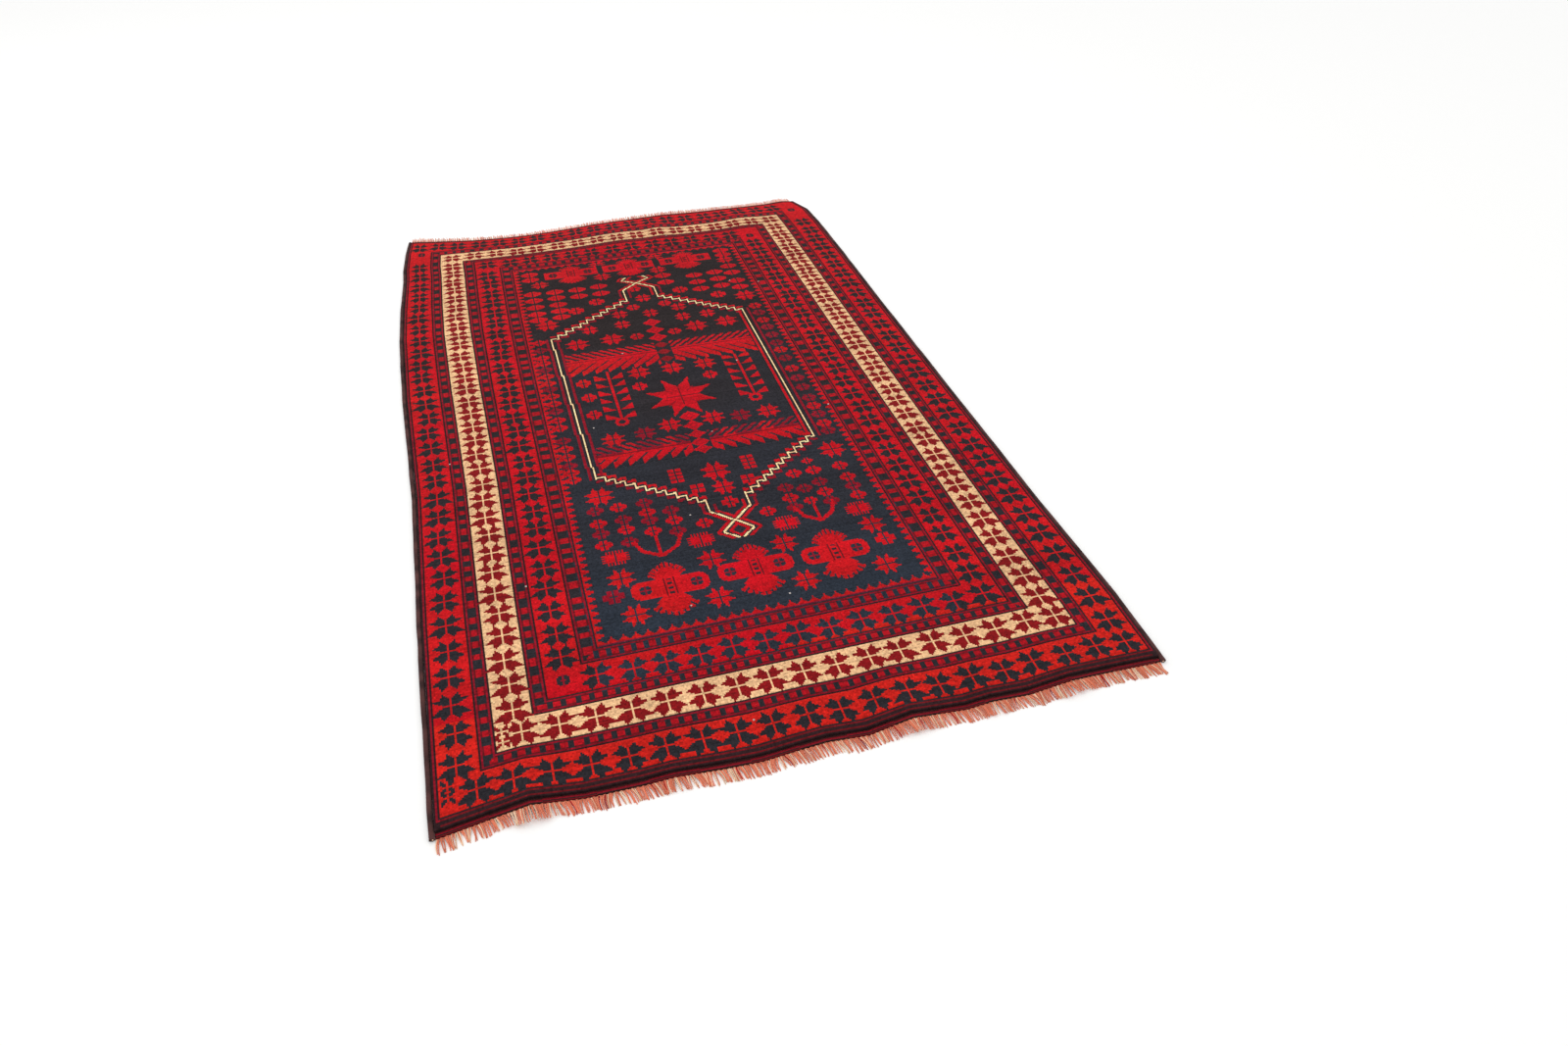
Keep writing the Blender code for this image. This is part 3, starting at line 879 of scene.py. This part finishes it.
def wool(name, fibre=1500.0, relief=0.0003, sheen=0.02, knots=True):
    """Matt wool: the colour of each knot or strand with its fibres, and rows of tufts in its relief."""
    material = bpy.data.materials.new(name)
    material.use_nodes = True
    tree = material.node_tree
    place = add_node(tree, "TexCoord", {}).outputs["Object"]
    fibres = add_node(tree, "TexNoise", {"Scale": fibre, "Detail": 3.0, "Vector": place}).outputs["Fac"]
    worn = add_node(tree, "TexNoise", {"Scale": 9.0, "Detail": 5.0, "Vector": place}).outputs["Fac"]
    shades = []
    for noise, low, high in ((fibres, 0.72, 1.28), (worn, 0.90, 1.10)):
        limits = {"From Min": 0.3, "From Max": 0.7, "To Min": low, "To Max": high, "Value": noise}
        shades.append(add_node(tree, "MapRange", limits).outputs["Result"])
    yarn = add_node(tree, "Attribute", {}, attribute_name="yarn").outputs["Color"]
    both = calculate(tree, "MULTIPLY", *shades)
    tint = add_node(tree, "VectorMath", {0: yarn, "Scale": both}, operation="SCALE").outputs["Vector"]
    height = calculate(tree, "ADD", tufts(tree), fibres) if knots else fibres
    bump = add_node(tree, "Bump", {"Strength": 0.8, "Distance": relief, "Height": height}).outputs["Normal"]
    looks = {
        "Roughness": 0.94, "Specular IOR Level": 0.08, "Sheen Weight": sheen, "Sheen Roughness": 0.55,
        "Base Color": tint, "Normal": bump,
    }
    connect(tree, tree.nodes["Principled BSDF"], looks)
    return material


boxes = {name: tuple(tuple(corner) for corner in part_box(name)) for name in PILE}
chart = draw(boxes)
colours = dye(chart)
sway = np.random.default_rng(21)
pile_bottom, pile_top = boxes["field_pile"][0][2], boxes["field_pile"][1][2]
wool_of = {slot: wool(slot) for slot in ("red_pile", "guard_pile", "cream_pile", "navy_pile")}
wool_of["overcast_wool"] = wool("overcast_wool", 1300.0, 0.0003, 0.04, False)
wool_of["kilim_wool"] = wool("kilim_wool", 1600.0, 0.0002, 0.04, True)
wool_of["warp_yarn"] = wool("warp_yarn", 1900.0, 0.0002, 0.04, False)


def clad(piece, node):
    """Hides the CAD node that the piece stands in for, and gives the piece back."""
    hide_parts(node)
    return piece


# The pile, band by band. Dark yarns are worn lower, because their dye eats the wool.
dark = np.isin(chart.codes, (NAVY, BROWN))
heights = pile_top - 0.0002 - DARK_WEAR * dark + sway.normal(scale=KNOT_UNEVENNESS, size=chart.codes.shape)
tops = corner_heights(np.clip(heights, pile_top - DEEPEST_WEAR, pile_top))
edge = {name: chart.edges(*box) for name, box in boxes.items()}


def rectangle(left, near, right, far):
    """The knots between these columns and rows."""
    mask = np.zeros(chart.codes.shape, bool)
    mask[near:far, left:right] = True
    return mask


masks = {}
for name, within in zip(PILE, PILE[1:]):
    masks[name] = rectangle(*edge[name]) & ~rectangle(*edge[within])
field = rectangle(*edge["field_pile"])
OUTLINE_REACH = 5  # knots on each side of the thread
outline = chart.thread.copy()
for _ in range(OUTLINE_REACH):
    grown = outline.copy()
    grown[1:] |= outline[:-1]
    grown[:-1] |= outline[1:]
    grown[:, 1:] |= outline[:, :-1]
    grown[:, :-1] |= outline[:, 1:]
    outline = grown
outline &= field
across = np.arange(chart.columns)[None, :]
first = np.where(outline.any(1), outline.argmax(1), chart.columns)[:, None]
last = np.where(outline.any(1), chart.columns - 1 - outline[:, ::-1].argmax(1), 0)[:, None]
crossing = chart.knot(0, -0.458)[1], chart.knot(0, 0.637)[1]
level = np.arange(chart.rows)[:, None]
inside = (across > first) & (across < last) & (level > crossing[0]) & (level < crossing[1]) & ~outline
masks["medallion_outline_pile"] = outline
for bar in ("far_feather_bar_pile", "near_feather_bar_pile"):
    masks[bar] = rectangle(*chart.edges(*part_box(bar))) & inside
masks["central_star_pile"] = chart.star
taken = masks["far_feather_bar_pile"] | masks["near_feather_bar_pile"] | chart.star
masks["medallion_ground_pile"] = inside & ~taken
masks["field_pile"] = field & ~inside & ~outline
slot_of = {
    "edge_stripe_pile": "guard_pile", "outer_border_pile": "red_pile", "outer_guard_pile": "guard_pile",
    "main_border_pile": "cream_pile", "middle_guard_pile": "guard_pile", "inner_border_pile": "red_pile",
    "inner_guard_pile": "guard_pile", "sawtooth_edging_pile": "red_pile", "field_pile": "navy_pile",
    "medallion_outline_pile": "cream_pile", "medallion_ground_pile": "navy_pile",
    "far_feather_bar_pile": "red_pile", "near_feather_bar_pile": "red_pile", "central_star_pile": "red_pile",
}
for name, mask in masks.items():
    slot = slot_of[name]
    origin = chart.left, chart.near
    piece = knotted(name + "_knots", mask, origin, chart.step, colours, tops, pile_bottom, wool_of[slot])
    clad(piece, name)

# The ground weave under the pile. Its back shows the knots' colours, in cells of a few knots.
BACK = 3
low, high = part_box("foundation_weave")
rows, columns = round(chart.rows / BACK), round(chart.columns / BACK)
step = (high[0] - low[0]) / columns, (high[1] - low[1]) / rows
pick = np.ix_(
    np.minimum(np.arange(rows) * BACK + 1, chart.rows - 1),
    np.minimum(np.arange(columns) * BACK + 1, chart.columns - 1),
)
weave_tops = np.full((rows + 1, columns + 1), high[2])
foundation = knotted(
    "foundation_weave_cloth", np.ones((rows, columns), bool), (low[0], low[1]), step, colours[pick] * 1.2,
    weave_tops, low[2] + 0.0002, wool_of["warp_yarn"],
)
clad(foundation, "foundation_weave")

# The narrow flat-woven bands beyond the first and last knots.
KILIM_ROW = 0.0011
KILIM_COLUMNS = 560
for node, dyes in (("near_end_kilim", (MAROON, BROWN, WINE)), ("far_end_kilim", (BROWN, MAROON, DARK_RED))):
    low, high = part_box(node)
    rows, columns = max(round((high[1] - low[1]) / KILIM_ROW), 4), KILIM_COLUMNS
    step = (high[0] - low[0]) / columns, (high[1] - low[1]) / rows
    r, c = np.mgrid[0:rows, 0:columns]
    woven = high[2] - 0.0004 + 0.0004 * ((r + c) % 2)
    shade = np.array([linear(DYES[code]) for code in dyes])[(r // 2 + (c // 37) % 2) % 3]
    shade = shade * (1 + 0.16 * sway.normal(size=(rows, columns)))[..., None].clip(0.5, 1.5)
    piece = knotted(
        node + "_weave", np.ones((rows, columns), bool), (low[0], low[1]), step, shade, corner_heights(woven),
        low[2] + 0.0003, wool_of["kilim_wool"],
    )
    clad(piece, node)

# The twined pair of yarns at each end: one dark and one light, which show in turn.
TWIST = 0.0085
for node in ("near_end_twining", "far_end_twining"):
    low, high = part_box(node)
    x = np.arange(low[0] + 0.0005, high[0] - 0.0005, 0.0012)
    radius = (high[1] - low[1]) / 4
    tubes = []
    for strand in (0, 1):
        turn = 2 * np.pi * x / TWIST + strand * np.pi
        y = (low[1] + high[1]) / 2 + radius * np.cos(turn)
        centre = np.stack([x, y, 0.0014 + radius * np.sin(turn)], 1)
        tubes.append(tube(centre, 2 * radius, 2 * radius, 6))
    points, quads, owner = several(tubes)
    shade = np.where(owner[:, None] == 0, linear(DYES[BROWN]), linear(SALMON))
    shade = shade * (1 + 0.12 * sway.normal(size=(len(quads), 1))).clip(0.6, 1.4)
    piece = finish_mesh(node + "_yarns", points, quads, shade, wool_of["overcast_wool"], smooth=True)
    clad(piece, node)

# The sides: two heavier warps, wound over with dark wool.
WRAP = 0.0026
WRAP_QUADS = 30  # three rings of ten sides
WRAPS = 5000  # after so many, the shading starts again


def wind(ring, angle):
    """How the winding swells: a ridge that runs round the side, on an oval that is a little square."""
    return 1 - 0.10 * (0.5 + 0.5 * np.cos(2 * np.pi * ring / 3 + angle)) - 0.03 * np.cos(2 * angle) ** 2


for side in ("left", "right"):
    low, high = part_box(side + "_selvedge_overcast")
    x, z = (low[0] + high[0]) / 2, (low[2] + high[2]) / 2
    y = np.arange(low[1] + 0.001, high[1] - 0.001, WRAP / 3)
    wander = 0.0006 * smooth_noise(len(y), 60, 31 if side == "left" else 32)
    centre = np.stack([x + wander, y, np.full(len(y), z)], 1)
    points, quads = tube(centre, high[0] - low[0], high[2] - low[2], 10, swell=wind)
    wrap = (np.arange(len(quads)) // WRAP_QUADS) % WRAPS
    dark_part = smooth_noise(WRAPS + 1, 7, 41 if side == "left" else 42)[wrap]
    mix = np.clip(0.42 + 0.5 * dark_part + 0.10 * sway.normal(size=len(quads)), 0, 1)[:, None]
    shade = linear(OVERCAST) * (1 - mix) + linear(OVERCAST_LIGHT) * mix
    piece = finish_mesh(side + "_selvedge_wraps", points, quads, shade, wool_of["overcast_wool"])
    clad(piece, side + "_selvedge_overcast")
    low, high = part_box(side + "_selvedge_core")
    y = np.arange(low[1] + 0.001, high[1] - 0.001, 0.004)
    tubes = []
    for strand in (-1, 1):
        centre = np.stack([np.full(len(y), x + strand * 0.0016), y, np.full(len(y), z)], 1)
        tubes.append(tube(centre, 0.0028, 0.0030, 8))
    points, quads, owner = several(tubes)
    shade = np.broadcast_to(linear(PALE_WARP), (len(quads), 3))
    piece = finish_mesh(side + "_selvedge_warps", points, quads, shade, wool_of["warp_yarn"], smooth=True)
    clad(piece, side + "_selvedge_core")


def fringe(node, count, near_end, seed):
    """The free ends of the warps: long, in threes, at the near end; short and turned up at the far one."""
    chance = np.random.default_rng(seed)
    low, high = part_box(node)
    start = high[1] + 0.0008 if near_end else low[1] - 0.0008
    way = -1 if near_end else 1
    full = high[1] - low[1]
    places = np.linspace(low[0] + 0.002, high[0] - 0.002, count)
    clump = smooth_noise(count, 7, seed + 1)
    threes = smooth_noise(count // 3 + 4, 2, seed + 2)
    t = np.linspace(0, 1, 8 if near_end else 4)
    tubes, shades = [], []
    for i, x in enumerate(places):
        if near_end:
            length = full * (0.54 + 0.05 * clump[i] + chance.normal(0, 0.03))
            lean = 0.004 + 0.005 * threes[i // 3] + chance.normal(0, 0.0009)
            bow = 0.0015 * threes[i // 3] + chance.normal(0, 0.0006)
        else:
            length = full * chance.uniform(1.1, 1.75)
            lean = chance.normal(0.0, 0.0012)
            bow = 0.0003
        gather = (places[min(i // 3 * 3 + 1, count - 1)] - x) * (0.35 if near_end else 0.2)
        px = x + (lean + gather) * t**1.2 + bow * np.sin(np.pi * t) + chance.normal(0, 0.0002)
        px = np.clip(px, low[0] - 0.012, high[0] + 0.012)
        py = start + way * length * t
        hump = chance.uniform(0, 0.0012)
        if near_end:
            pz = 0.0016 * (1 - t) + 0.0007 + hump * np.sin(np.pi * t)
        else:
            pz = 0.0016 + chance.uniform(0.003, 0.007) * t
        thick = 0.0019 * (1 - 0.22 * t) * chance.uniform(0.85, 1.1)
        tubes.append(tube(np.stack([px, py, pz], 1), thick, thick, 6))
        pick = chance.random()
        shade = SALMON if pick < 0.78 else PALE_WARP if pick < 0.965 else RED_STRAND
        shades.append(linear(shade) * chance.uniform(0.8, 1.1))
    points, quads, owner = several(tubes)
    shade = np.array(shades)[owner]
    piece = finish_mesh(node + "_strands", points, quads, shade, wool_of["warp_yarn"], smooth=True)
    return clad(piece, node)


fringe("near_fringe", 620, True, 51)
fringe("far_fringe", 560, False, 61)

# Floor, light and camera.
REACH = 30.0
corners = [(-REACH, -REACH, 0), (REACH, -REACH, 0), (REACH, REACH, 0), (-REACH, REACH, 0)]
floor_mesh = bpy.data.meshes.new("floor")
floor_mesh.from_pydata(corners, [], [(0, 1, 2, 3)])
floor = bpy.data.objects.new("floor", floor_mesh)
bpy.context.scene.collection.objects.link(floor)
paint = bpy.data.materials.new("floor_paint")
paint.use_nodes = True
matt = {"Base Color": (*linear(FLOOR), 1), "Roughness": 0.9, "Specular IOR Level": 0.1}
connect(paint.node_tree, paint.node_tree.nodes["Principled BSDF"], matt)
floor_mesh.materials.append(paint)

world = bpy.data.worlds.new("studio")
world.use_nodes = True
world.node_tree.nodes["Background"].inputs["Color"].default_value = (1, 1, 1, 1)
world.node_tree.nodes["Background"].inputs["Strength"].default_value = 0.98
bpy.context.scene.world = world
lamp = bpy.data.lights.new("softbox", "AREA")
lamp.shape = "RECTANGLE"
lamp.size, lamp.size_y = 4.0, 3.0
lamp.energy = 26.0
softbox = bpy.data.objects.new("softbox", lamp)
softbox.location = (-1.6, 1.4, 3.4)
softbox.rotation_euler = (math.radians(-24), math.radians(-26), 0)
bpy.context.scene.collection.objects.link(softbox)

lens = bpy.data.cameras.new("camera")
lens.lens = 24.57
lens.sensor_width = 36.0
camera = bpy.data.objects.new("camera", lens)
camera.location = (-0.3857, -2.0969, 1.3565)
camera.rotation_euler = (math.radians(90 - 38.917), 0, math.radians(-16.587))
bpy.context.scene.collection.objects.link(camera)
bpy.context.scene.camera = camera
bpy.context.scene.view_settings.view_transform = "Standard"
